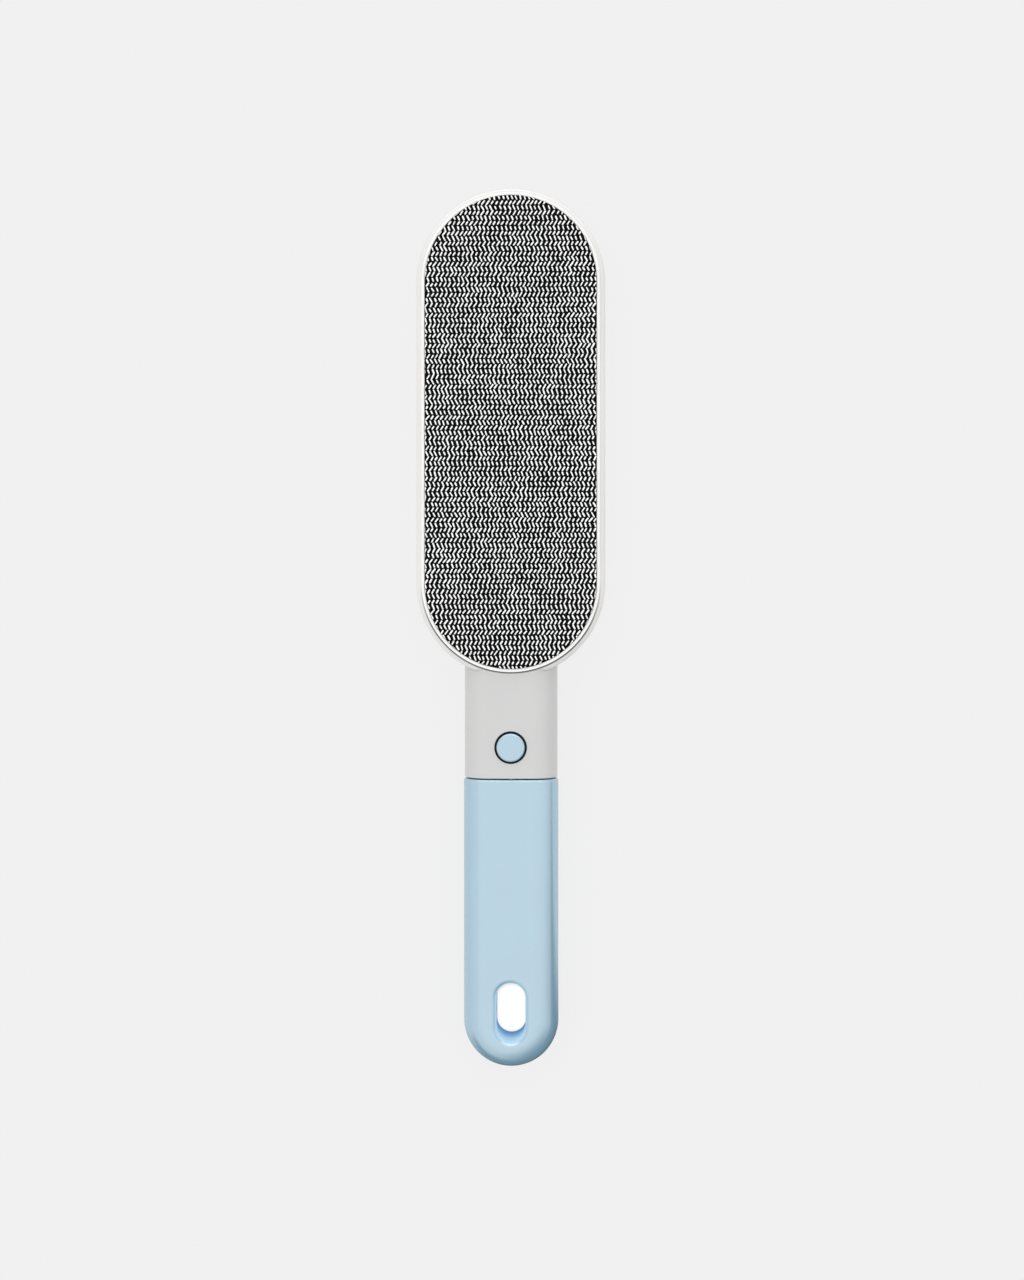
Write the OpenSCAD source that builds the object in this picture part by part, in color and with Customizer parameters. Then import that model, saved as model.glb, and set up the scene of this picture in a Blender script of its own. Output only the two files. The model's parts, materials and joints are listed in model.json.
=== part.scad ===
// Pet hair removal brush with a two-sided napped head that turns on its handle.
// A push button on the neck frees the turning lock, so that either pad can face up.
// The brush lies flat: X runs across it, +Y towards the head and +Z up.
// The origin is below the middle of its outline, on the surface that it lies on.

/* [Head] */
// Width of the head casing
head_w = 67.2; // [62:0.2:84]
// Distance between the centres of the head's two round ends
head_span = 106.9; // [80:0.1:150]
// Rounding of the casing's outer edges
head_edge_r = 2.2; // [0.8:0.1:3.2]
// Width of the casing's shoulder outside the lip
shoulder_w = 2; // [1.8:0.1:5]

/* [Pads] */
// Width of the raised lip round each pad
lip_w = 1.1; // [0.8:0.1:3]
// Height of the lip above the casing
lip_h = 1.4; // [0.9:0.1:3]
// Rounding of the lip's top edges
lip_edge_r = 0.2; // [0.1:0.05:0.4]
// Thickness of the plate that carries the fabric
plate_t = 1.5; // [1.2:0.1:2]
// Depth of the plate's seat in the casing
plate_seat_d = 1.2; // [0.8:0.1:1.8]
// Diameter of the pegs that hold the plate
peg_d = 3; // [2:0.1:4]
// Thickness of the fabric's woven backing
backing_t = 0.5; // [0.3:0.1:0.8]
// Height of the nap above the lip
nap_above_lip = 0.8; // [0.3:0.1:2]
// Distance from one row of nap to the next
nap_pitch = 1.82; // [1.8:0.02:4]

/* [Neck] */
// Distance from the neck's end to the centre of the head's lower round end
neck_len = 69.5; // [64:0.5:95]
// Gap between the neck and the handle
seam_gap = 0.4; // [0.3:0.05:0.8]
// How far the handle stands out from the neck all round
seam_step = 0.35; // [0.1:0.05:0.6]
// Rounding of the neck's rim at the handle
neck_rim_r = 0.4; // [0.1:0.05:0.8]

/* [Handle] */
// Width of the handle
handle_w = 34; // [32:0.5:42]
// Thickness of the handle
handle_t = 19.2; // [18.8:0.2:24]
// Length of the handle
handle_len = 103.5; // [96:0.5:150]
// Rounding of the handle's rim at the neck
handle_rim_r = 0.8; // [0.1:0.05:1]
// Width of the hang slot
slot_w = 10.4; // [6:0.2:11]
// Length of the hang slot
slot_len = 21; // [14:0.2:24]
// Distance from the handle's end to the middle of the slot
slot_from_end = 20.6; // [18:0.1:30]
// Radius of the slot's rounded mouth
slot_mouth_r = 2.1; // [1:0.1:3.6]

/* [Casings] */
// Wall thickness of the casings
wall = 1.8; // [1.4:0.1:2.1]
// Thickness of the end walls where neck and handle meet
end_wall = 3; // [2.8:0.1:4]
// Width of the fine groove where front and back casings meet
parting_w = 0.3; // [0.1:0.05:0.6]
// Depth of that groove
parting_d = 0.25; // [0.1:0.05:0.5]

/* [Screws] */
// Diameter of the casing screws
screw_d = 3; // [2.2:0.1:3.2]
// Length of a casing screw under its head
screw_len = 11.6; // [9:0.1:12]
// Diameter of a screw head
screw_head_d = 5.6; // [4.6:0.1:6]
// Thickness of a screw head
screw_head_t = 1.8; // [1.2:0.1:2]

/* [Button] */
// Diameter of the button
button_d = 10; // [9.4:0.1:11]
// Height of the button above the neck
button_h = 1.2; // [0.6:0.1:2]
// Travel of the button
button_travel = 1.2; // [0.8:0.1:1.3]
// Rounding of the button's top edge
button_edge_r = 0.7; // [0.2:0.1:0.9]
// Width of the ring round the button
ring_w = 0.7; // [0.5:0.02:1.4]
// Distance from the neck's end to the middle of the button
button_from_seam = 11.1; // [10.8:0.1:16]

/* [Turning mechanism] */
// Diameter of the spindle
spindle_d = 5; // [4:0.1:5.2]
// Diameter of the cross pin that fixes the spindle
pin_d = 2.5; // [1.6:0.1:2.8]
// Outer diameter of the bushes
bush_d = 8; // [7.2:0.1:8.2]
// Diameter of the notched disc
disc_d = 9.2; // [8.8:0.1:9.6]
// Thickness of the notched disc
disc_t = 2.2; // [1.6:0.1:3]
// Thickness of the leaf spring
leaf_t = 0.4; // [0.3:0.05:0.5]
// Width of the leaf spring
leaf_w = 8; // [7.8:0.1:9]
// Diameter of the stop lug on the handle
lug_d = 2.2; // [1.6:0.1:2.2]

/* [Fits] */
// Radial clearance of the turning and sliding pieces
running_fit = 0.06; // [0.02:0.01:0.1]
// Clearance round pieces that stay in their seats
seat_fit = 0.02; // [0.01:0.01:0.05]

/* [Hidden] */
$fn = 96;

white = [0.93, 0.93, 0.92];
pale_blue = [0.72, 0.83, 0.89];
black = [0.05, 0.05, 0.06];
nap_grey = [0.3, 0.3, 0.31];
steel = [0.66, 0.67, 0.69];
acetal = [0.86, 0.85, 0.8];

// Places along the brush, from the handle's end to the head's tip
head_r = head_w / 2;
total_len = handle_len + seam_gap + neck_len + head_span + head_r;
handle_end = -total_len / 2;
handle_top = handle_end + handle_len;
neck_end = handle_top + seam_gap;
head_mid = neck_end + neck_len + head_span / 2;
head_low = head_mid - head_span / 2;
head_high = head_mid + head_span / 2;
slot_y = handle_end + slot_from_end;

// Sections and heights, measured from the brush's mid-plane; cut is how far a cut overshoots
neck_w = handle_w - 2 * seam_step;
neck_t = handle_t - 2 * seam_step;
casing_z = neck_t / 2;
seat_z = casing_z - plate_seat_d;
floor_z = seat_z - wall;
fabric_z = seat_z + plate_t;
lip_z = casing_z + lip_h;
nap_z = lip_z + nap_above_lip;
mid_z = nap_z;
neck_inner_z = casing_z - wall;
handle_half_t = handle_t / 2;
plate_r = head_r - shoulder_w;
pad_r = plate_r - lip_w;
edge_r = min(head_edge_r, shoulder_w);
reach = total_len;
cut = 1;

// Spindle and its bearings
spindle_r = spindle_d / 2;
bush_r = bush_d / 2;
flange_w = 0.7;
flange_r = bush_r + flange_w;
flange_t = 0.8;
washer_seat_d = 0.85;
block_w = 16;
block_len = 10;
block_end_t = 2;
block_from_wall = 9;
block_y1 = handle_top - end_wall - block_from_wall;
block_y0 = block_y1 - block_len;
pin_y = (block_y0 + block_y1) / 2;
pin_len = block_w - 2;
clip_t = 0.8;
clip_r = flange_r;
clip_mouth = spindle_d - 1.4;
groove_d = 0.5;
groove_r = spindle_r - groove_d;
flat_z = spindle_r - groove_d;
spindle_tip = 1.2;

// Lock under the button
button_y = neck_end + button_from_seam;
button_r = button_d / 2;
cap_wall = 1;
cap_top_t = 1.5;
cap_flange_t = 0.9;
cap_flange_r = button_r + flange_w;
cap_gap = 0.05;
cap_top_z = casing_z + button_h;
cap_inner_z = cap_top_z - cap_top_t;
ring_seat_d = 1.2;
ring_stand = 0.1;
ring_r = button_r + running_fit + ring_w;
leg_t = 1;
leg_w = 2.4;
leg_x = spindle_r + 0.4;
disc_r = disc_d / 2;
disc_gap = 0.4;
disc_y0 = button_y + leg_w / 2 + disc_gap;
disc_y1 = disc_y0 + disc_t;
notch_d = button_travel;
notch_w = 2.5;
notch_tip_w = 0.7;
notch_fit = 0.12;
notch_rest = 0.15;
leaf_gap = 0.3;
leaf_top_z = -disc_r - leaf_gap;
clamp_wall = 0.6;
clamp_y0 = neck_end + end_wall + flange_t + 0.6;
clamp_y1 = clamp_y0 + 2.6;
clamp_w = leaf_w + 3;
leaf_y0 = clamp_y0 + clamp_wall;
leaf_y1 = disc_y1 + 0.6;
rib_run = 0.3;
rib_t = 2.5;
rib_y0 = max(leaf_y1 + 0.9, button_y + cap_flange_r + 0.3);
rib_y1 = rib_y0 + rib_t;
clip_y0 = rib_y1 + flange_t + running_fit;
spindle_y1 = clip_y0 + clip_t + spindle_tip;
plug_t = 1.7;

// Stop lug and the half-turn groove that it runs in
lug_r = lug_d / 2;
groove_side = 0.1;
lug_path_r = flange_r + lug_r + 0.45;
lug_len = 1.5;
lug_end_gap = 0.3;
lug_groove_d = lug_len + lug_end_gap;

// Screws: the height of the seat under their heads, and x and y of each axis
screw_r = screw_d / 2;
screw_boss_r = screw_r + 1.7;
screw_sunk = 2.3;
screw_under_plate = 0.8;
screw_tip_gap = 0.4;
screw_shank_gap = 0.1;
screw_head_gap = 0.15;
handle_screw_z = handle_half_t - screw_sunk - screw_head_t;
head_screw_z = seat_z - screw_under_plate - screw_head_t;
neck_screw_x = 10.6;
top_screw_inset = 4;
top_screw_y = handle_top - end_wall - top_screw_inset;
neck_screw_from_seam = 14;
neck_screw_y = neck_end + neck_screw_from_seam;
pad_screw_x = 20;
pad_screw_inset = 6;
slot_screw_gap = 12;
handle_screw_spots = [
    [-neck_screw_x, top_screw_y],
    [neck_screw_x, top_screw_y],
    [0, block_y0 - slot_screw_gap],
    [0, slot_y + slot_len / 2 + slot_screw_gap]
];
pad_screw_y = [head_low + pad_screw_inset, head_high - pad_screw_inset];
head_screw_spots = [
    for (x = [-neck_screw_x, neck_screw_x]) [x, neck_screw_y],
    for (x = [-pad_screw_x, pad_screw_x], y = pad_screw_y) [x, y]
];

// Pegs under each pad plate
peg_r = peg_d / 2;
peg_len = wall + 0.9;
peg_x = 22;
peg_spots = [for (x = [-peg_x, peg_x], k = [1, 2]) [x, head_low + k * head_span / 3]];

// Rows of nap, centred on the pad
nap_len = head_span + 2 * pad_r;
nap_rows = floor(nap_len / nap_pitch);
nap_y0 = (head_low + head_high - nap_rows * nap_pitch) / 2;
nap_h = nap_z - fabric_z - backing_t;
nap_edge_gap = 0.1;

// Lifts the brush from its mid-plane onto the surface
module lift() {
    translate([0, 0, mid_z]) children();
}

// Runs a flat shape drawn in X and Z along Y
module run_y(y0, y1) {
    translate([0, y0, 0]) rotate([90, 0, 0]) mirror([0, 0, 1]) linear_extrude(y1 - y0) children();
}

module rod_y(r, y0, y1) {
    run_y(y0, y1) circle(r);
}

module tube_y(r, bore_r, y0, y1) {
    run_y(y0, y1) difference() {
        circle(r);
        circle(bore_r);
    }
}

module block(x0, x1, y0, y1, z0, z1) {
    translate([x0, y0, z0]) cube([x1 - x0, y1 - y0, z1 - z0]);
}

// Keeps what lies above the mid-plane
module upper_half() {
    intersection() {
        children();
        block(-reach, reach, -reach, reach, 0, reach);
    }
}

// Flat shape of the head with its round ends, at radius r
module head_shape(r) {
    translate([0, head_low]) circle(r);
    translate([0, head_high]) circle(r);
    translate([-r, head_low]) square([2 * r, head_span]);
}

module head_plate(r, z0, z1) {
    translate([0, 0, z0]) linear_extrude(z1 - z0) head_shape(r);
}

// Half of the casing's section, from the middle to its rounded outer edge
module edge_section(r, h, edge) {
    square([r, h - edge]);
    square([r - edge, h]);
    translate([r - edge, h - edge]) circle(edge);
}

// Carries a section, drawn from the middle outwards, round the head's outline
module round_head() {
    for (end = [[head_low, 180], [head_high, 0]])
        translate([0, end[0], 0]) rotate([0, 0, end[1]]) rotate_extrude(angle = 180) children();
    translate([0, head_mid, 0]) rotate([90, 0, 0]) linear_extrude(head_span, center = true) {
        children();
        mirror([1, 0]) children();
    }
}

// Section of the neck and the handle: flat front and back, round sides
module pill(w, t) {
    translate([(t - w) / 2, -t / 2]) square([w - t, t]);
    for (side = [-1, 1])
        translate([side * (w - t) / 2, 0]) circle(t / 2);
}

module half_pill(w, t) {
    intersection() {
        pill(w, t);
        translate([0, -t]) square([w, 2 * t]);
    }
}

// Flat bar with round sides from y0 to y1, its rim at y1 rounded by edge
module pill_bar(w, t, y0, y1, edge) {
    side_x = (w - t) / 2;
    for (side = [0, 1])
        mirror([side, 0, 0]) translate([side_x, y0, 0]) rotate([-90, -90, 0]) rotate_extrude(angle = 180)
            edge_section(t / 2, y1 - y0, edge);
    for (face = [0, 1])
        mirror([0, 0, face]) translate([-side_x, y0, 0]) rotate([90, 0, 90]) linear_extrude(2 * side_x)
            rotate(90) mirror([0, 1]) edge_section(t / 2, y1 - y0, edge);
}

// Whole form of the handle, inset on every side, cut short by top_inset
module handle_form(inset, top_inset, edge = 0) {
    w = handle_w - 2 * inset;
    t = handle_t - 2 * inset;
    end_y = handle_end + handle_w / 2;
    if (edge > 0)
        pill_bar(w, t, end_y, handle_top, edge);
    else
        run_y(end_y, handle_top - top_inset) pill(w, t);
    translate([0, end_y, 0]) rotate([0, 0, 180]) rotate_extrude(angle = 180) half_pill(w, t);
}

module slot_shape(w, length) {
    for (end = [-1, 1])
        translate([0, end * (length - w) / 2]) circle(w / 2);
    translate([-w / 2, (w - length) / 2]) square([w, length - w]);
}

// Column around the hang slot, wider behind the rounded mouth
module slot_column() {
    depth = slot_mouth_r + wall;
    translate([0, slot_y, 0]) {
        linear_extrude(handle_half_t) slot_shape(slot_w + 2 * wall, slot_len + 2 * wall);
        translate([0, 0, handle_half_t - depth]) linear_extrude(depth)
            slot_shape(slot_w + 2 * depth, slot_len + 2 * depth);
    }
}

// Section of the rounded mouth, outside the slot's wall
module mouth_section() {
    foot_z = handle_half_t - slot_mouth_r;
    difference() {
        translate([slot_w / 2 - cut, foot_z]) square(slot_mouth_r + cut);
        translate([slot_w / 2 + slot_mouth_r, foot_z]) circle(slot_mouth_r);
    }
}

module slot_cut() {
    straight = slot_len - slot_w;
    translate([0, slot_y, 0]) {
        translate([0, 0, -cut]) linear_extrude(handle_t) slot_shape(slot_w, slot_len);
        for (end = [0, 1])
            mirror([0, end, 0]) translate([0, straight / 2, 0]) rotate_extrude(angle = 180)
                mouth_section();
        for (side = [0, 1])
            mirror([side, 0, 0]) run_y(-straight / 2, straight / 2) mouth_section();
    }
}

// Fine groove round the joint of two casings, cut from one half
module handle_parting() {
    difference() {
        block(-reach, reach, -reach, handle_top + cut, -cut, parting_w / 2);
        handle_form(parting_d, -2 * cut);
    }
}

module head_parting() {
    difference() {
        block(-reach, reach, neck_end - cut, reach, -cut, parting_w / 2);
        head_plate(head_r - parting_d, -2 * cut, parting_w);
        run_y(neck_end - 2 * cut, head_low) pill(neck_w - 2 * parting_d, neck_t);
    }
}

module screw_bosses(spots) {
    for (spot = spots)
        translate([spot[0], spot[1], 0]) cylinder(r = screw_boss_r, h = handle_half_t);
}

module screw_pilots(spots, seat) {
    depth = screw_len - seat + screw_tip_gap;
    for (spot = spots)
        translate([spot[0], spot[1], -cut]) cylinder(r = screw_r + seat_fit, h = depth + cut);
}

// Clearance hole and sunk seat of each screw, seen from the outside of a half
module screw_seats(spots, seat) {
    for (spot = spots)
        translate([spot[0], spot[1], 0]) {
            translate([0, 0, -cut]) cylinder(r = screw_r + screw_shank_gap, h = handle_t);
            translate([0, 0, seat]) cylinder(r = screw_head_d / 2 + screw_head_gap, h = handle_t);
        }
}

// Casing screws with their heads towards the back
module screws(spots, seat) {
    cross_w = 0.8;
    cross_len = screw_head_d * 0.6;
    cross_d = 1;
    for (spot = spots)
        translate([spot[0], spot[1], -seat]) difference() {
            union() {
                cylinder(r = screw_r, h = screw_len);
                translate([0, 0, -screw_head_t]) cylinder(d = screw_head_d, h = screw_head_t);
            }
            for (turn = [0, 90])
                rotate([0, 0, turn])
                    block(-cross_len / 2, cross_len / 2, -cross_w / 2, cross_w / 2,
                        -screw_head_t - cut, cross_d - screw_head_t);
        }
}

// Upper half of the handle, alike for front and back
module handle_half() {
    difference() {
        upper_half() {
            difference() {
                handle_form(0, 0, handle_rim_r);
                handle_form(wall, end_wall);
            }
            intersection() {
                handle_form(wall / 2, end_wall / 2);
                union() {
                    screw_bosses(handle_screw_spots);
                    block(-block_w / 2, block_w / 2, block_y0, block_y1, 0, handle_half_t);
                    slot_column();
                }
            }
        }
        slot_cut();
        handle_parting();
        rod_y(spindle_r + seat_fit, block_y0 + block_end_t, handle_top + cut);
        rod_y(flange_r + seat_fit, handle_top - washer_seat_d, handle_top + cut);
        translate([-pin_len / 2 - seat_fit, pin_y, 0]) rotate([0, 90, 0])
            cylinder(r = pin_d / 2 + seat_fit, h = pin_len + 2 * seat_fit);
    }
}

module handle_shell_front() {
    color(pale_blue) lift() {
        difference() {
            handle_half();
            screw_pilots(handle_screw_spots, handle_screw_z);
        }
        translate([0, 0, lug_path_r])
            rod_y(lug_r, handle_top - end_wall / 2, neck_end + lug_len);
    }
}

module handle_shell_back() {
    color(pale_blue) lift() mirror([0, 0, 1]) difference() {
        handle_half();
        screw_seats(handle_screw_spots, handle_screw_z);
    }
}

module handle_screws() {
    color(steel) lift() screws(handle_screw_spots, handle_screw_z);
}

module spindle() {
    color(steel) lift() difference() {
        rod_y(spindle_r, block_y0 + block_end_t + seat_fit, spindle_y1);
        block(-reach, reach, disc_y0 - disc_gap, spindle_y1 + cut, flat_z, reach);
        tube_y(spindle_r + cut, groove_r, clip_y0 - seat_fit, clip_y0 + clip_t + seat_fit);
        translate([-reach / 2, pin_y, 0]) rotate([0, 90, 0])
            cylinder(r = pin_d / 2 + seat_fit, h = reach);
    }
}

module spindle_pin() {
    color(steel) lift() translate([-pin_len / 2, pin_y, 0]) rotate([0, 90, 0])
        cylinder(d = pin_d, h = pin_len);
}

// Shape of a notch at the foot of the disc, widened all round by grow
module notch_shape(grow) {
    polygon([
        [-notch_w / 2 - grow, -disc_r - leaf_gap],
        [-notch_tip_w / 2 - grow, -disc_r + notch_d + grow - notch_rest],
        [notch_tip_w / 2 + grow, -disc_r + notch_d + grow - notch_rest],
        [notch_w / 2 + grow, -disc_r - leaf_gap]
    ]);
}

module detent_disc() {
    color(steel) lift() run_y(disc_y0, disc_y1) difference() {
        circle(disc_r);
        intersection() {
            circle(spindle_r + seat_fit);
            translate([-disc_r, -disc_r]) square([disc_d, disc_r + flat_z + seat_fit]);
        }
        for (turn = [0, 180])
            rotate(turn) notch_shape(notch_fit);
    }
}

module retaining_clip() {
    color(steel) lift() run_y(clip_y0, clip_y0 + clip_t) difference() {
        circle(clip_r);
        circle(groove_r + seat_fit);
        translate([-clip_mouth / 2, -clip_r - cut]) square([clip_mouth, clip_r + cut]);
    }
}

module thrust_washer() {
    color(acetal) lift()
        tube_y(flange_r, spindle_r + seat_fit, handle_top - washer_seat_d, neck_end - running_fit);
}

// Hollow of the head and the neck, joined by a lower passage under the pad's seat
module casing_hollow() {
    passage_y = head_low - plate_r - wall;
    head_plate(head_r - wall, -cut, floor_z);
    run_y(neck_end + end_wall, passage_y) pill(neck_w - 2 * wall, neck_t - 2 * wall);
    run_y(passage_y - cut, head_low) pill(neck_w - 4 * wall, 2 * floor_z);
}

// Inner rib that carries the upper bush
module bearing_rib() {
    run_y(rib_y0, rib_y1) pill(neck_w - wall, neck_t - wall);
}

// Upper half of the head and neck, alike for front and back
module head_half() {
    difference() {
        upper_half() {
            difference() {
                union() {
                    round_head() edge_section(head_r, casing_z, edge_r);
                    mirror([0, 1, 0]) pill_bar(neck_w, neck_t, -head_low, -neck_end, neck_rim_r);
                }
                casing_hollow();
            }
            bearing_rib();
            intersection() {
                union() {
                    head_plate(head_r - wall / 2, 0, floor_z + wall / 2);
                    run_y(neck_end, head_low - plate_r - wall) pill(neck_w - wall, neck_t - wall);
                }
                screw_bosses(head_screw_spots);
            }
        }
        head_plate(plate_r + seat_fit, seat_z, casing_z + cut);
        for (spot = peg_spots)
            translate([spot[0], spot[1], 0]) cylinder(r = peg_r + seat_fit, h = casing_z);
        head_parting();
        rod_y(bush_r + seat_fit, neck_end - cut, rib_y1 + cut);
        stop_groove();
    }
}

// Half-turn groove in the neck's end wall, round the side away from +X
module stop_groove() {
    r = lug_r + groove_side;
    translate([0, neck_end + lug_groove_d, 0]) rotate([90, 0, 0]) {
        rotate([0, 0, 90]) rotate_extrude(angle = 180)
            translate([lug_path_r - r, 0]) square([2 * r, lug_groove_d + cut]);
        for (side = [-1, 1])
            translate([0, side * lug_path_r, 0]) cylinder(r = r, h = lug_groove_d + cut);
    }
}

module head_shell_front() {
    color(white) lift() difference() {
        head_half();
        screw_pilots(head_screw_spots, head_screw_z);
        translate([0, button_y, 0]) cylinder(r = button_r + running_fit, h = casing_z + cut);
        translate([0, button_y, casing_z - ring_seat_d]) cylinder(r = ring_r + seat_fit, h = casing_z);
    }
}

module head_shell_back() {
    color(white) lift() mirror([0, 0, 1]) {
        difference() {
            head_half();
            screw_seats(head_screw_spots, head_screw_z);
        }
        leaf_clamp();
    }
}

// Block on the neck's floor with the slot that holds the leaf
module leaf_clamp() {
    leaf_z = -leaf_top_z;
    difference() {
        block(-clamp_w / 2, clamp_w / 2, clamp_y0, clamp_y1, leaf_z - clamp_wall, neck_inner_z + wall / 2);
        block(-leaf_w / 2 - seat_fit, leaf_w / 2 + seat_fit, leaf_y0 - seat_fit, clamp_y1 + cut,
            leaf_z - seat_fit, leaf_z + leaf_t + seat_fit);
    }
}

module head_screws() {
    color(steel) lift() screws(head_screw_spots, head_screw_z);
}

// Section of the lip with its rounded top
module lip_section() {
    translate([pad_r, fabric_z]) square([lip_w, lip_z - lip_edge_r - fabric_z]);
    translate([pad_r + lip_edge_r, fabric_z]) square([lip_w - 2 * lip_edge_r, lip_z - fabric_z]);
    for (x = [pad_r + lip_edge_r, plate_r - lip_edge_r])
        translate([x, lip_z - lip_edge_r]) circle(lip_edge_r);
}

// Plate with its lip and pegs, for the upper pad
module pad_plate() {
    head_plate(plate_r, seat_z, fabric_z);
    round_head() lip_section();
    for (spot = peg_spots)
        translate([spot[0], spot[1], seat_z - peg_len]) cylinder(r = peg_r, h = peg_len + plate_t / 2);
}

module pad_plate_front() {
    color(white) lift() pad_plate();
}

module pad_plate_back() {
    color(white) lift() mirror([0, 0, 1]) pad_plate();
}

// Section of the fabric along the brush: backing with leaning rows of nap
module nap_section() {
    rows = [for (i = [0 : nap_rows - 1]) each [
        [nap_y0 + (i + 0.08) * nap_pitch, backing_t],
        [nap_y0 + (i + 0.3) * nap_pitch, backing_t + nap_h],
        [nap_y0 + (i + 0.75) * nap_pitch, backing_t + nap_h],
        [nap_y0 + (i + 0.88) * nap_pitch, backing_t]
    ]];
    polygon(concat([[head_low - head_r, 0], [head_low - head_r, backing_t]], rows,
        [[head_high + head_r, backing_t], [head_high + head_r, 0]]));
}

module fabric() {
    intersection() {
        translate([-head_r, 0, fabric_z]) rotate([90, 0, 90]) linear_extrude(head_w) nap_section();
        head_plate(pad_r - nap_edge_gap, fabric_z - cut, nap_z + cut);
    }
}

module fabric_front() {
    color(nap_grey) lift() fabric();
}

module fabric_back() {
    color(nap_grey) lift() mirror([0, 0, 1]) fabric();
}

module button_ring() {
    color(black) lift() translate([0, button_y, casing_z - ring_seat_d]) difference() {
        cylinder(r = ring_r, h = ring_seat_d + ring_stand);
        translate([0, 0, -cut]) cylinder(r = button_r + running_fit, h = ring_seat_d + 2 * cut);
    }
}

module bush_lower() {
    color(acetal) lift() {
        tube_y(bush_r, spindle_r + running_fit, neck_end, neck_end + end_wall);
        tube_y(flange_r, spindle_r + running_fit, neck_end + end_wall, neck_end + end_wall + flange_t);
    }
}

module bush_upper() {
    color(acetal) lift() {
        tube_y(bush_r, spindle_r + running_fit, rib_y0, rib_y1);
        tube_y(flange_r, spindle_r + running_fit, rib_y1, rib_y1 + flange_t);
    }
}

// Flat steel leaf with the raised rib that drops into the disc's notch
module detent_spring() {
    color(steel) lift() {
        difference() {
            union() {
                block(-leaf_w / 2, leaf_w / 2, leaf_y0, leaf_y1, leaf_top_z - leaf_t, leaf_top_z);
                run_y(disc_y0 - rib_run, leaf_y1) notch_shape(0);
            }
            translate([0, 0, -leaf_t]) run_y(disc_y0 - rib_run, leaf_y1 + cut) notch_shape(-leaf_t / 4);
        }
    }
}

// Hollow button with a rounded top edge and a flange under the neck's skin
module button_cap() {
    flange_z = neck_inner_z - cap_gap - cap_flange_t;
    color(pale_blue) lift() translate([0, button_y, 0]) rotate_extrude() difference() {
        union() {
            translate([0, flange_z]) square([cap_flange_r, cap_flange_t]);
            translate([0, flange_z]) edge_section(button_r, cap_top_z - flange_z, button_edge_r);
        }
        translate([0, flange_z - cut]) square([button_r - cap_wall, cap_inner_z - flange_z + cut]);
    }
}

// Plug in the button with two legs that pass the spindle and stand on the leaf
module lock_yoke() {
    foot_z = leaf_top_z + cap_gap;
    plug_r = button_r - cap_wall - seat_fit;
    color(acetal) lift() {
        translate([0, button_y, cap_inner_z - plug_t]) cylinder(r = plug_r, h = plug_t);
        for (side = [0, 1])
            mirror([side, 0, 0])
                block(leg_x, leg_x + leg_t, button_y - leg_w / 2, button_y + leg_w / 2,
                    foot_z, cap_inner_z - plug_t / 2);
    }
}

handle_shell_front();
handle_shell_back();
handle_screws();
spindle();
spindle_pin();
detent_disc();
retaining_clip();
thrust_washer();
head_shell_front();
head_shell_back();
head_screws();
pad_plate_front();
pad_plate_back();
fabric_front();
fabric_back();
button_ring();
bush_lower();
bush_upper();
detent_spring();
button_cap();
lock_yoke();
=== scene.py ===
"""Looks of the pet hair removal brush: moulded plastics, napped pads, soft studio light."""

import json
import math
import random

import bmesh
import bpy
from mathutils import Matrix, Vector


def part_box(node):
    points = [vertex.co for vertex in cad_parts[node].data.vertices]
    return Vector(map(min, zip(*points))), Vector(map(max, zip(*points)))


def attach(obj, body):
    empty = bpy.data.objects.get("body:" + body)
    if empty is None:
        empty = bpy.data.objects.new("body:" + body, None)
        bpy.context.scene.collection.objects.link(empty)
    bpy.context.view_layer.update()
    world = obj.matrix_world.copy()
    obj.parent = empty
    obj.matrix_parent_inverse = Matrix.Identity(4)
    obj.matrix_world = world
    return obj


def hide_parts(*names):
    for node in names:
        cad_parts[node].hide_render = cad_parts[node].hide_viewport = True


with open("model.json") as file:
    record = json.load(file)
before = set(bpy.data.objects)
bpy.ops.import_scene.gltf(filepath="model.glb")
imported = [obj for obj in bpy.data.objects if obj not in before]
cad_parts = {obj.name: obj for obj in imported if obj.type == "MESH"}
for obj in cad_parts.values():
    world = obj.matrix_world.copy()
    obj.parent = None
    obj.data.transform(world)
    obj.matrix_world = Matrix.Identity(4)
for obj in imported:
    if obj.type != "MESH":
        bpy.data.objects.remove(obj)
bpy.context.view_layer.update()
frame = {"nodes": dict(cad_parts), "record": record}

MM = 0.001

# The photograph's frame and the middle of the brush in it, in pixels, and its scale at the brush
IMAGE_W = 1024
IMAGE_H = 1280
BRUSH_MID_PX = (511.2, 629.0)
PIXEL = 0.36 * MM

# The camera's height above the brush's mid-plane, and its place over the brush
CAMERA_HEIGHT = 0.62
CAMERA_X = 0.014
CAMERA_Y = 0.010
SENSOR = 36.0

# The handle's mid-plane, half its width and half its thickness
MID_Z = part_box("handle_shell_front")[0][2]
HANDLE_HALF_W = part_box("handle_shell_front")[1][0]
HANDLE_HALF_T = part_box("handle_shell_front")[1][2] - MID_Z

# The hang slot: its middle, the radius of its ends, half the distance between their centres, and the
# rounding of its mouth
SLOT_Y = next(m["pos_m"][1] for m in frame["record"]["mounts"] if m["name"] == "hang_slot")
SLOT_RADIUS = 5.2 * MM
SLOT_HALF_SPAN = 5.3 * MM
SLOT_MOUTH_R = 2.1 * MM

# The colour sockets of a Mix node
MIX_A = 6
MIX_B = 7
MIX_RESULT = 2


# Materials

# Noise scales of a moulded colour, of its gloss and of its fine grain
CLOUD_SCALE = 45.0
GLOSS_SCALE = 300.0
GRAIN_SCALE = 1600.0
GLOSS_SPREAD = 0.02

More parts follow.
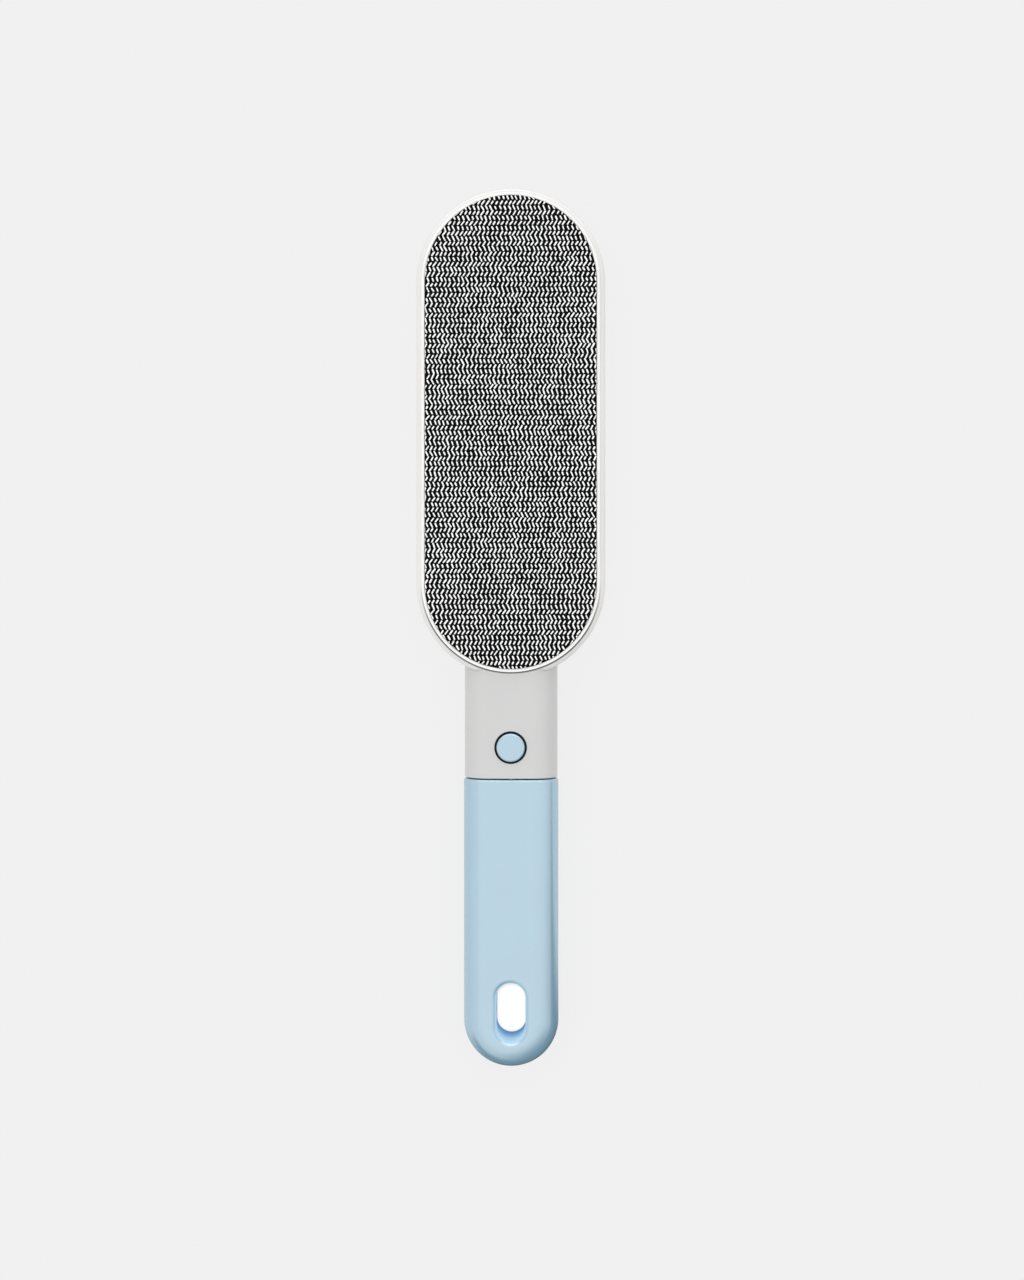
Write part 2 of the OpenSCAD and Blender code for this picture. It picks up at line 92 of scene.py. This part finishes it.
# Roughness, depth of the grain and radius that an edge is softened by
BLUE_SKIN = (0.24, 0.003 * MM, 0.2 * MM)
WHITE_SKIN = (0.34, 0.004 * MM, 0.12 * MM)
BLACK_SKIN = (0.45, 0.003 * MM, 0.08 * MM)
ACETAL_SKIN = (0.42, 0.004 * MM, 0.08 * MM)

PLASTIC_IOR = 1.5
# The photograph shows a broad pale sheen on the blue that a common index does not give
BLUE_IOR = 2.84
SPECULAR_LEVEL = 0.5


def linear(r, g, b):
    """A colour given in steps of 0 to 255 as the linear values that shaders work in."""
    return tuple(c / 255 / 12.92 if c < 10.3 else ((c / 255 + 0.055) / 1.055) ** 2.4 for c in (r, g, b))


BLUE = (0.243, 0.42, 0.54)
# Painted shade on the hang slot's wall: a shaded deep blue towards the floor and a lit light blue towards the
# top face
SHADED_SLOT_BLUE = (0.05, 0.33, 0.66)
LIT_SLOT_BLUE = (0.66, 0.86, 0.97)
WHITE = (0.86, 0.855, 0.845)
CASING_WHITE = (0.74, 0.733, 0.722)
NECK_GREY = (0.56, 0.56, 0.557)
BLACK = linear(6, 6, 7)
ACETAL = linear(226, 223, 213)

# Shares of the slot's depth between which the painted shade on its wall turns from the shaded deep blue to
# the lit light one
SLOT_SHADE_SHARES = (0.1, 0.6)

# The neck's grey: it sets in over a distance outside the lip, ends just outside the neck's own section, and
# keeps to the handle's side of the head's middle
GREY_FADE = 1.5 * MM
NECK_MARGIN = 0.4 * MM
NECK_FADE = 0.3 * MM
HANDLE_SIDE_FADE = 1.0 * MM

# The painted shadow line at the lip's foot: how far it reaches, and its tones, 1 being no line at all
FOOT_SHADOW_REACH = 1.0 * MM
FOOT_PAINTED_SHADOW = ((0.25, 0.05), (0.8, 1.0))


class Nodes:
    """A node tree under construction, with short calls for its nodes."""

    def __init__(self, tree):
        self.tree = tree

    def add(self, kind, **settings):
        node = self.tree.nodes.new(kind)
        for key, value in settings.items():
            setattr(node, key, value)
        return node

    def link(self, source, target):
        self.tree.links.new(source, target)

    def place(self):
        return self.add("ShaderNodeTexCoord").outputs["Object"]

    def parts(self, vector):
        """The X, Y and Z parts of a vector."""
        split = self.add("ShaderNodeSeparateXYZ")
        self.link(vector, split.inputs["Vector"])
        return split.outputs["X"], split.outputs["Y"], split.outputs["Z"]

    def math(self, operation, *values, clamp=False):
        node = self.add("ShaderNodeMath", operation=operation, use_clamp=clamp)
        for socket, value in zip(node.inputs, values):
            if isinstance(value, (int, float)):
                socket.default_value = value
            else:
                self.link(value, socket)
        return node.outputs["Value"]

    def share(self, value, whole):
        """A value as a share of a whole, held between 0 and 1."""
        return self.math("DIVIDE", value, whole, clamp=True)

    def hypotenuse(self, first, second):
        squares = self.math("ADD", self.math("MULTIPLY", first, first), self.math("MULTIPLY", second, second))
        return self.math("SQRT", squares)

    def noise(self, scale, detail=2.0):
        node = self.add("ShaderNodeTexNoise")
        node.inputs["Scale"].default_value = scale
        node.inputs["Detail"].default_value = detail
        self.link(self.place(), node.inputs["Vector"])
        return node.outputs["Fac"]

    def ramp(self, factor, *stops):
        """A colour ramp from pairs of position and colour, or of position and brightness for a grey."""
        node = self.add("ShaderNodeValToRGB")
        elements = node.color_ramp.elements
        while len(elements) < len(stops):
            elements.new(0.5)
        for element, (position, colour) in zip(elements, stops):
            element.position = position
            element.color = (*(colour if isinstance(colour, tuple) else (colour,) * 3), 1.0)
        self.link(factor, node.inputs["Fac"])
        return node.outputs["Color"]

    def mix(self, factor, first, second, blend="MIX"):
        """A colour mix; each of its three values is a socket or a constant."""
        node = self.add("ShaderNodeMix", data_type="RGBA", blend_type=blend)
        for socket, value in zip((node.inputs["Factor"], node.inputs[MIX_A], node.inputs[MIX_B]),
                                 (factor, first, second)):
            if isinstance(value, (float, tuple)):
                socket.default_value = value
            else:
                self.link(value, socket)
        return node.outputs[MIX_RESULT]


class Material(Nodes):
    """A Principled material."""

    def __init__(self, name, **values):
        self.material = bpy.data.materials.new(name)
        self.material.use_nodes = True
        super().__init__(self.material.node_tree)
        self.tree.nodes.clear()
        self.shader = self.add("ShaderNodeBsdfPrincipled")
        self.output = self.add("ShaderNodeOutputMaterial")
        self.link(self.shader.outputs["BSDF"], self.output.inputs["Surface"])
        for key, value in values.items():
            self.shader.inputs[key.replace("_", " ")].default_value = value

    def colour(self, socket):
        self.link(socket, self.shader.inputs["Base Color"])

    def roughness(self, value, spread, scale):
        stops = (0.3, value - spread), (0.7, value + spread)
        self.link(self.ramp(self.noise(scale), *stops), self.shader.inputs["Roughness"])

    def bump(self, height, distance, edge_radius=0.0):
        node = self.add("ShaderNodeBump")
        node.inputs["Strength"].default_value = 1.0
        node.inputs["Distance"].default_value = distance
        self.link(height, node.inputs["Height"])
        if edge_radius:
            bevel = self.add("ShaderNodeBevel", samples=6)
            bevel.inputs["Radius"].default_value = edge_radius
            self.link(bevel.outputs["Normal"], node.inputs["Normal"])
        self.link(node.outputs["Normal"], self.shader.inputs["Normal"])

    def clouded(self, colour, depth=0.03):
        """The faint unevenness of a moulded colour."""
        darker = tuple(c * (1 - depth) for c in colour)
        return self.ramp(self.noise(CLOUD_SCALE, 3.0), (0.3, darker), (0.7, colour))

    def skin(self, gloss, grain, edge_radius):
        """The gloss, grain and softened edges of moulded plastic."""
        self.roughness(gloss, GLOSS_SPREAD, GLOSS_SCALE)
        self.bump(self.noise(GRAIN_SCALE, 1.0), grain, edge_radius)


def moulded_plastic(name, colour, skin, **values):
    m = Material(name, IOR=PLASTIC_IOR, **values)
    m.colour(m.clouded(colour))
    m.skin(*skin)
    return m.material


def from_stadium(m, x, y, centre_y, half_span, radius):
    """How far a place lies outside a round-ended outline along Y, below zero inside it."""
    along = m.math("ABSOLUTE", m.math("SUBTRACT", y, centre_y))
    past_end = m.math("MAXIMUM", m.math("SUBTRACT", along, half_span), 0.0)
    return m.math("SUBTRACT", m.hypotenuse(x, past_end), radius)


def from_neck(m, x, z):
    """How far a place lies outside the neck's section, which is the handle's too."""
    past_flat = m.math("SUBTRACT", m.math("ABSOLUTE", x), HANDLE_HALF_W - HANDLE_HALF_T)
    past_flat = m.math("MAXIMUM", past_flat, 0.0)
    return m.math("SUBTRACT", m.hypotenuse(past_flat, m.math("SUBTRACT", z, MID_Z)), HANDLE_HALF_T)


def handle_plastic(name):
    """Glossy blue; the wall of the hang slot has no gloss and painted shade, darker towards the floor and
    lighter towards the front.
    """
    m = Material(name, IOR=BLUE_IOR)
    x, y, z = m.parts(m.place())
    from_wall = from_stadium(m, x, y, SLOT_Y, SLOT_HALF_SPAN, SLOT_RADIUS)
    open_face = m.share(from_wall, SLOT_MOUTH_R / 3)
    wall_shade_stops = zip(SLOT_SHADE_SHARES, (SHADED_SLOT_BLUE, LIT_SLOT_BLUE))
    # Painted shade: the slot's wall darkens towards the floor, where less light reaches into the slot
    painted_wall_shade = m.ramp(m.math("DIVIDE", z, 2 * MID_Z), *wall_shade_stops)
    m.colour(m.mix(open_face, painted_wall_shade, m.clouded(BLUE)))
    m.link(m.math("MULTIPLY", open_face, SPECULAR_LEVEL), m.shader.inputs["Specular IOR Level"])
    m.skin(*BLUE_SKIN)
    return m.material


def casing_plastic(name):
    """White on the head, light grey on the neck, and a painted shadow line at the lip's foot round the neck's
    end.
    """
    low, high = (Vector(corner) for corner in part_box("pad_plate_front"))
    lip_radius = (high.x - low.x) / 2
    half_span = (high.y - low.y) / 2 - lip_radius
    centre_y = (low.y + high.y) / 2
    m = Material(name, IOR=PLASTIC_IOR)
    x, y, z = m.parts(m.place())
    from_lip = from_stadium(m, x, y, centre_y, half_span, lip_radius)
    outside = m.share(from_lip, GREY_FADE)
    within = m.share(m.math("SUBTRACT", NECK_MARGIN, from_neck(m, x, z)), NECK_FADE)
    handle_side = m.share(m.math("SUBTRACT", centre_y, y), HANDLE_SIDE_FADE)
    on_neck = m.math("MULTIPLY", m.math("MULTIPLY", outside, within), handle_side)
    plain = m.mix(on_neck, m.clouded(CASING_WHITE), m.clouded(NECK_GREY))
    # Painted shade: a dark line at the lip's foot, faded in towards the neck's end of the head, where the
    # shoulder lies in shade
    foot_shadowed = m.mix(1.0, plain, m.ramp(m.share(from_lip, FOOT_SHADOW_REACH), *FOOT_PAINTED_SHADOW), "MULTIPLY")
    shadow_towards_neck = m.share(m.math("SUBTRACT", centre_y - half_span, y), lip_radius / 2)
    m.colour(m.mix(shadow_towards_neck, plain, foot_shadowed))
    m.skin(*WHITE_SKIN)
    return m.material


def plated_steel(name):
    m = Material(name, Metallic=1.0)
    m.colour(m.ramp(m.noise(900.0, 4.0), (0.3, (0.42, 0.42, 0.44)), (0.7, (0.58, 0.58, 0.6))))
    m.roughness(0.3, 0.06, 700.0)
    m.bump(m.noise(2600.0, 2.0), 0.006 * MM, 0.08 * MM)
    return m.material


def nap_ground(name):
    """The black pile between the tufts."""
    m = Material(name, Sheen_Weight=0.05, Sheen_Roughness=0.5, Specular_IOR_Level=0.1)
    m.colour(m.ramp(m.noise(1500.0, 3.0), (0.35, linear(3, 3, 4)), (0.75, linear(18, 18, 20))))
    m.roughness(0.9, 0.05, 900.0)
    m.bump(m.noise(2400.0, 3.0), 0.15 * MM)
    return m.material


def nap_tufts(name, foot, tip):
    """Light tufts, darker towards their foot, with fibres that show as fine streaks."""
    m = Material(name, Sheen_Weight=0.15, Sheen_Roughness=0.4, Specular_IOR_Level=0.2)
    z = m.parts(m.place())[2]
    from_middle = m.math("ABSOLUTE", m.math("SUBTRACT", z, MID_Z))
    lift = m.math("DIVIDE", m.math("SUBTRACT", from_middle, foot), tip - foot)
    fibres = m.ramp(m.noise(1300.0, 3.0), (0.3, linear(232, 232, 233)), (0.6, linear(255, 255, 255)))
    shade = m.ramp(lift, (0.0, linear(6, 6, 7)), (0.66, linear(30, 30, 32)), (0.8, 1.0))
    m.colour(m.mix(1.0, fibres, shade, "MULTIPLY"))
    m.roughness(0.85, 0.05, 900.0)
    m.bump(m.noise(4200.0, 2.0), 0.05 * MM)
    return m.material


def finish_nodes():
    """Each CAD node takes the finish of its record slot; the casings take the two-tone one."""
    finishes = {
        "white_plastic": moulded_plastic("satin_white", WHITE, WHITE_SKIN),
        "blue_plastic": handle_plastic("gloss_blue"),
        "black_plastic": moulded_plastic("gloss_black", BLACK, BLACK_SKIN, Specular_IOR_Level=0.15),
        "steel": plated_steel("steel"),
        "acetal": moulded_plastic("natural_acetal", ACETAL, ACETAL_SKIN),
    }
    casing_white = casing_plastic("casing_white")
    for part in frame["record"]["subparts"]:
        name = part["node"]
        finish = casing_white if name.startswith("head_shell") else finishes.get(part["material_slot"])
        if finish is None:
            continue
        for slot in frame["nodes"][name].material_slots:
            slot.material = finish


# Napped pads

# A pair of tuft rows: one row slants to the right, the next one back to the left
ROW_PAIR = 3.62 * MM
STEEP_ROW = 1.88 * MM
STEEP_SHIFT = 0.85 * MM
FLAT_SHIFT = -1.12 * MM

TUFT_PITCH = 1.56 * MM
TUFT_W = 0.62 * MM
TUFT_H = 0.95 * MM

# How unevenly the rows lean and follow on each other
LEAN_SHARES = (0.85, 1.15)
ROW_JITTER = 0.45 * MM

# How unevenly the tufts of a row stand: a smooth wave, and each tuft's own shift, tilt and ends
WAVE = 0.16 * MM
TUFT_JITTER = 0.06 * MM
TUFT_TILT = 0.14 * MM
END_JITTER = 0.12 * MM

# Shares of a tuft's full length, width and height
LENGTH_SHARES = (0.72, 1.04)
WIDTH_SHARES = (0.8, 1.1)
HEIGHT_SHARES = (0.9, 1.0)

# How far a row reaches beyond the pad's sides, and how far outside the pad a tuft's middle may lie
ROW_MARGIN = 3 * MM
TUFT_MARGIN = 0.3 * MM

# The share of its distance that a point outside the pad's outline keeps
OUTSIDE_LEFT = 0.04

# A tuft's rings from foot to tip: share of its outline and share of its height
TUFT_RINGS = ((0.9, 0.0), (1.0, 0.6), (0.86, 0.88), (0.4, 1.0))
END_ANGLES = (-90, -30, 30, 90)


def piece(name, mesh, material, smooth):
    data = bpy.data.meshes.new(name)
    mesh.to_mesh(data)
    mesh.free()
    data.materials.append(material)
    for polygon in data.polygons:
        polygon.use_smooth = smooth
    made = bpy.data.objects.new(name, data)
    bpy.context.scene.collection.objects.link(made)
    return made


def clamp_to_stadium(x, y, half_span, radius):
    """Pulls a point that lies outside the pad's outline straight back to it."""
    core_y = max(-half_span, min(half_span, y))
    away = math.hypot(x, y - core_y)
    if away <= radius:
        return x, y
    pulled = (radius + (away - radius) * OUTSIDE_LEFT) / away
    return x * pulled, core_y + (y - core_y) * pulled


def stadium_outline(half_span, radius, steps=64):
    points = []
    for side, turn in ((1, 0.0), (-1, math.pi)):
        for i in range(steps + 1):
            angle = turn + math.pi * i / steps
            points.append((radius * math.cos(angle), side * half_span + radius * math.sin(angle)))
    return points


def tuft_outline(length, width):
    """A slim stadium along Y with blunt round ends."""
    r = width / 2
    reach = max(length / 2 - r, 0.0)
    outline = []
    for side in (1, -1):
        for angle in END_ANGLES:
            a = math.radians(angle)
            outline.append((-side * r * math.sin(a), side * (reach + r * math.cos(a))))
    return outline


class Waves:
    """A smooth uneven shift of tufts along a row, in metres."""

    def __init__(self, rng, size):
        self.waves = [(size / (k + 1), rng.uniform(0.2, 0.45) * (k + 1) / MM, rng.uniform(0, 2 * math.pi))
                      for k in range(2)]

    def at(self, x):
        return sum(size * math.sin(x * rate + phase) for size, rate, phase in self.waves)


def around_zero(rng, most):
    return rng.uniform(-most, most)


def tuft_rows(half_len, rng):
    """Yields the two ends of every row's tufts: y and sideways shift at the top and at the bottom."""
    y = half_len
    shift = 0.0
    steep = True
    while y > -half_len:
        height = STEEP_ROW if steep else ROW_PAIR - STEEP_ROW
        lean = (STEEP_SHIFT if steep else FLAT_SHIFT) * rng.uniform(*LEAN_SHARES)
        yield y, y - height, shift, shift + lean
        y -= height
        shift += lean + around_zero(rng, ROW_JITTER)
        steep = not steep


def add_tuft(mesh, top, bottom, share_of_row, width, height, mid, half_span, radius):
    """A soft slanted grain between two ends, kept inside the pad's outline."""
    dx, dy = bottom[0] - top[0], bottom[1] - top[1]
    length = math.hypot(dx, dy)
    ux, uy = dx / length, dy / length
    cx, cy = (top[0] + bottom[0]) / 2, (top[1] + bottom[1]) / 2
    previous = None
    for share, lift in TUFT_RINGS:
        ring = []
        inset = (1 - share) * width / 2
        for ox, oy in tuft_outline(length * share_of_row - 2 * inset, width - 2 * inset):
            x = cx + ox * uy + oy * ux
            y = cy - ox * ux + oy * uy
            x, y = clamp_to_stadium(x, y, half_span, radius - inset)
            ring.append(mesh.verts.new((mid.x + x, mid.y + y, height * lift)))
        if previous:
            for i in range(len(ring)):
                j = (i + 1) % len(ring)
                mesh.faces.new((previous[i], previous[j], ring[j], ring[i]))
        previous = ring
    mesh.faces.new(previous)


def pad_ground(mid, half_span, radius, seat, ground_z):
    """The closed slab that the tufts stand on, from its seat to its face."""
    ground = bmesh.new()
    outline = stadium_outline(half_span, radius)
    foot = [ground.verts.new((mid.x + x, mid.y + y, seat)) for x, y in outline]
    face = [ground.verts.new((mid.x + x, mid.y + y, ground_z)) for x, y in outline]
    ground.faces.new(foot)
    ground.faces.new(face)
    for i in range(len(face)):
        j = (i + 1) % len(face)
        ground.faces.new((foot[i], foot[j], face[j], face[i]))
    bmesh.ops.recalc_face_normals(ground, faces=ground.faces)
    return ground


def pad_tufts(mid, half_span, radius, rng):
    """All the tufts of a pad, standing up from z = 0."""
    tufts = bmesh.new()
    columns = int((radius + ROW_MARGIN) / TUFT_PITCH)
    for y0, y1, shift0, shift1 in tuft_rows(half_span + radius, rng):
        waves = Waves(rng, WAVE)
        wrap = shift0 % TUFT_PITCH
        for column in range(-columns, columns + 1):
            x = column * TUFT_PITCH
            x += waves.at(x) + around_zero(rng, TUFT_JITTER)
            tilt = around_zero(rng, TUFT_TILT)
            top = (x + wrap - tilt, y0 + around_zero(rng, END_JITTER))
            bottom = (x + wrap + shift1 - shift0 + tilt, y1 + around_zero(rng, END_JITTER))
            cx, cy = (top[0] + bottom[0]) / 2, (top[1] + bottom[1]) / 2
            if clamp_to_stadium(cx, cy, half_span, radius + TUFT_MARGIN) != (cx, cy):
                continue
            add_tuft(tufts, top, bottom, rng.uniform(*LENGTH_SHARES), TUFT_W * rng.uniform(*WIDTH_SHARES),
                     TUFT_H * rng.uniform(*HEIGHT_SHARES), mid, half_span, radius)
    return tufts


def napped_pad(node, up, seed):
    """Black ground and zigzag rows of light tufts in the space of a fabric node; up is 1 or -1."""
    low, high = (Vector(corner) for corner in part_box(node))
    radius = (high.x - low.x) / 2
    half_span = (high.y - low.y) / 2 - radius
    mid = (low + high) / 2
    tip, seat = (high.z, low.z) if up > 0 else (low.z, high.z)
    ground_z = tip - up * TUFT_H

    ground = pad_ground(mid, half_span, radius, seat, ground_z)
    tufts = pad_tufts(mid, half_span, radius, random.Random(seed))
    if up < 0:
        bmesh.ops.scale(tufts, vec=(1, 1, -1), verts=tufts.verts)
    bmesh.ops.translate(tufts, vec=(0, 0, ground_z), verts=tufts.verts)
    bmesh.ops.recalc_face_normals(tufts, faces=tufts.faces)

    pieces = [
        piece(node + "_ground", ground, ground_material, smooth=False),
        piece(node + "_tufts", tufts, tuft_material, smooth=True),
    ]
    for part in pieces:
        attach(part, "head")
    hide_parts(node)


# Studio

# Brightness of the dome's sides, and what its overhead light and far window add to them
SIDES = 1.02
OVERHEAD = 0.248
FAR_WINDOW = 0.3
# The heights at which the overhead light sets in and is full, and how much it leans to the right
OVERHEAD_EDGE = (0.465, 0.507)
OVERHEAD_LEAN = 0.115
# The far window's edge, by how much further a direction points to the far side than aside
WINDOW_EDGE = (0.4, 0.55)

# The darkest side lies towards the handle's end, turned this far to the right
DARK_TURN = math.radians(30)
DARK_X, DARK_Y = math.sin(DARK_TURN), math.cos(DARK_TURN)
# The share of the light that is left, by how far a direction lies away from the darkest side, 0 to 1
DARK_SIDE = ((0.0, 0.05), (0.06, 0.4), (0.22, 1.0))

# A low panel on the far side that only gloss shows: brightness, width, height and the place of its middle
PANEL = 2.4
PANEL_W = 1.9
PANEL_H = 0.5
PANEL_Y = 1.0
PANEL_Z = 0.28

# The floor's tone, its painted light where it is seen through the slot, and the tone that the camera sees
# beyond it
FLOOR_LIGHT = 0.81
SLOT_PAINTED_LIGHT = 0.97
HORIZON = 0.885
FLOOR_BASE = (0.06, 0.06, 0.06, 1.0)
FLOOR_HALF = 6.0
# The painted pool of light below the slot, shifted away from the camera, which looks through the slot at a
# slant
GLOW_SHIFT = 2.7 * MM
GLOW_HALF_SPAN = 2.8 * MM
GLOW_FADE = 0.6 * MM
# The painted bounce light that the floor gives off to every ray but the camera's, which is low where it lies
# furthest towards the dark side
FLOOR_BOUNCE_GLOW = 0.9
DARK_BOUNCE_GLOW = 0.03
DARK_REACH = 0.145
BOUNCE_FADE = 0.03


def camera():
    """Looks down on the brush from where the photograph was taken, through a lens shifted along it."""
    aim_x = (IMAGE_W / 2 - BRUSH_MID_PX[0]) * PIXEL
    aim_y = (BRUSH_MID_PX[1] - IMAGE_H / 2) * PIXEL
    data = bpy.data.cameras.new("camera")
    data.sensor_width = SENSOR
    data.lens = SENSOR * CAMERA_HEIGHT / (IMAGE_H * PIXEL)
    data.shift_y = (aim_y - CAMERA_Y) / (IMAGE_H * PIXEL)
    data.clip_start = 0.01
    made = bpy.data.objects.new("camera", data)
    bpy.context.scene.collection.objects.link(made)
    made.location = (CAMERA_X, CAMERA_Y, MID_Z + CAMERA_HEIGHT)
    made.rotation_euler.y = math.atan2(CAMERA_X - aim_x, CAMERA_HEIGHT)
    bpy.context.scene.camera = made


def away_from_dark(nodes, x, y):
    """How far a place or a direction lies away from the dark side."""
    return nodes.math("SUBTRACT", nodes.math("MULTIPLY", y, DARK_Y), nodes.math("MULTIPLY", x, DARK_X))


def floor():
    """A plain pale floor that shows the brush's faint shadow, with a painted pool of light where it is seen
    through the slot and a painted bounce light.
    """
    mesh = bmesh.new()
    corners = ((-1, -1), (1, -1), (1, 1), (-1, 1))
    mesh.faces.new([mesh.verts.new((x * FLOOR_HALF, y * FLOOR_HALF, 0.0)) for x, y in corners])
    m = Material("floor", Base_Color=FLOOR_BASE, Roughness=0.9, Specular_IOR_Level=0.0, Emission_Strength=1.0)
    x, y, _ = m.parts(m.place())
    # Painted pool of light on the floor below the slot, in the tone that the camera sees
    beyond = from_stadium(m, x, y, SLOT_Y - GLOW_SHIFT, GLOW_HALF_SPAN, SLOT_RADIUS)
    tone = m.ramp(m.share(beyond, GLOW_FADE), (0.0, SLOT_PAINTED_LIGHT), (1.0, FLOOR_LIGHT))
    m.link(tone, m.shader.inputs["Emission Color"])
    # Painted bounce light: the floor glows for every ray but the camera's, less towards the dark side
    lit = m.share(m.math("ADD", away_from_dark(m, x, y), DARK_REACH), BOUNCE_FADE)
    bounce_glow = m.add("ShaderNodeEmission")
    m.link(m.ramp(lit, (0.0, DARK_BOUNCE_GLOW), (1.0, FLOOR_BOUNCE_GLOW)), bounce_glow.inputs["Color"])
    mix = m.add("ShaderNodeMixShader")
    m.link(m.add("ShaderNodeLightPath").outputs["Is Camera Ray"], mix.inputs[0])
    m.link(bounce_glow.outputs["Emission"], mix.inputs[1])
    m.link(m.shader.outputs["BSDF"], mix.inputs[2])
    m.link(mix.outputs["Shader"], m.output.inputs["Surface"])
    piece("floor", mesh, m.material, smooth=False)


def sky():
    """A soft dome: even sides, a wide light overhead, a window on the far side and a dark near side."""
    world = bpy.data.worlds.new("studio")
    bpy.context.scene.world = world
    world.use_nodes = True
    w = Nodes(world.node_tree)
    x, y, z = w.parts(w.add("ShaderNodeTexCoord").outputs["Generated"])
    overhead = w.ramp(w.math("MULTIPLY_ADD", x, OVERHEAD_LEAN, z), *zip(OVERHEAD_EDGE, (0.0, OVERHEAD)))
    window = w.ramp(w.math("SUBTRACT", y, w.math("ABSOLUTE", x)), *zip(WINDOW_EDGE, (0.0, FAR_WINDOW)))
    away = w.math("MULTIPLY_ADD", away_from_dark(w, x, y), 0.5, 0.5)
    light = w.math("ADD", w.math("ADD", overhead, window), SIDES)
    light = w.math("MULTIPLY", light, w.ramp(away, *DARK_SIDE))
    seen = w.add("ShaderNodeLightPath").outputs["Is Camera Ray"]
    tone = w.mix(seen, light, (HORIZON, HORIZON, HORIZON, 1.0))
    w.link(tone, world.node_tree.nodes["Background"].inputs["Color"])


def panel():
    """The panel that makes the bright crescent at the near end of the hang slot."""
    data = bpy.data.lights.new("panel", "AREA")
    data.shape = "RECTANGLE"
    data.size, data.size_y = PANEL_W, PANEL_H
    data.energy = PANEL * math.pi * PANEL_W * PANEL_H
    made = bpy.data.objects.new("panel", data)
    bpy.context.scene.collection.objects.link(made)
    made.location = (0.0, PANEL_Y, PANEL_Z)
    made.rotation_euler.x = -math.pi / 2
    made.visible_diffuse = False
    made.visible_camera = False


camera()
floor()
sky()
panel()
bpy.context.scene.view_settings.view_transform = "Standard"

ground_material = nap_ground("nap_ground")
tuft_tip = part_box("fabric_front")[1][2] - MID_Z
tuft_material = nap_tufts("nap_tufts", tuft_tip - TUFT_H, tuft_tip)

finish_nodes()
napped_pad("fabric_front", 1, seed=3)
napped_pad("fabric_back", -1, seed=4)
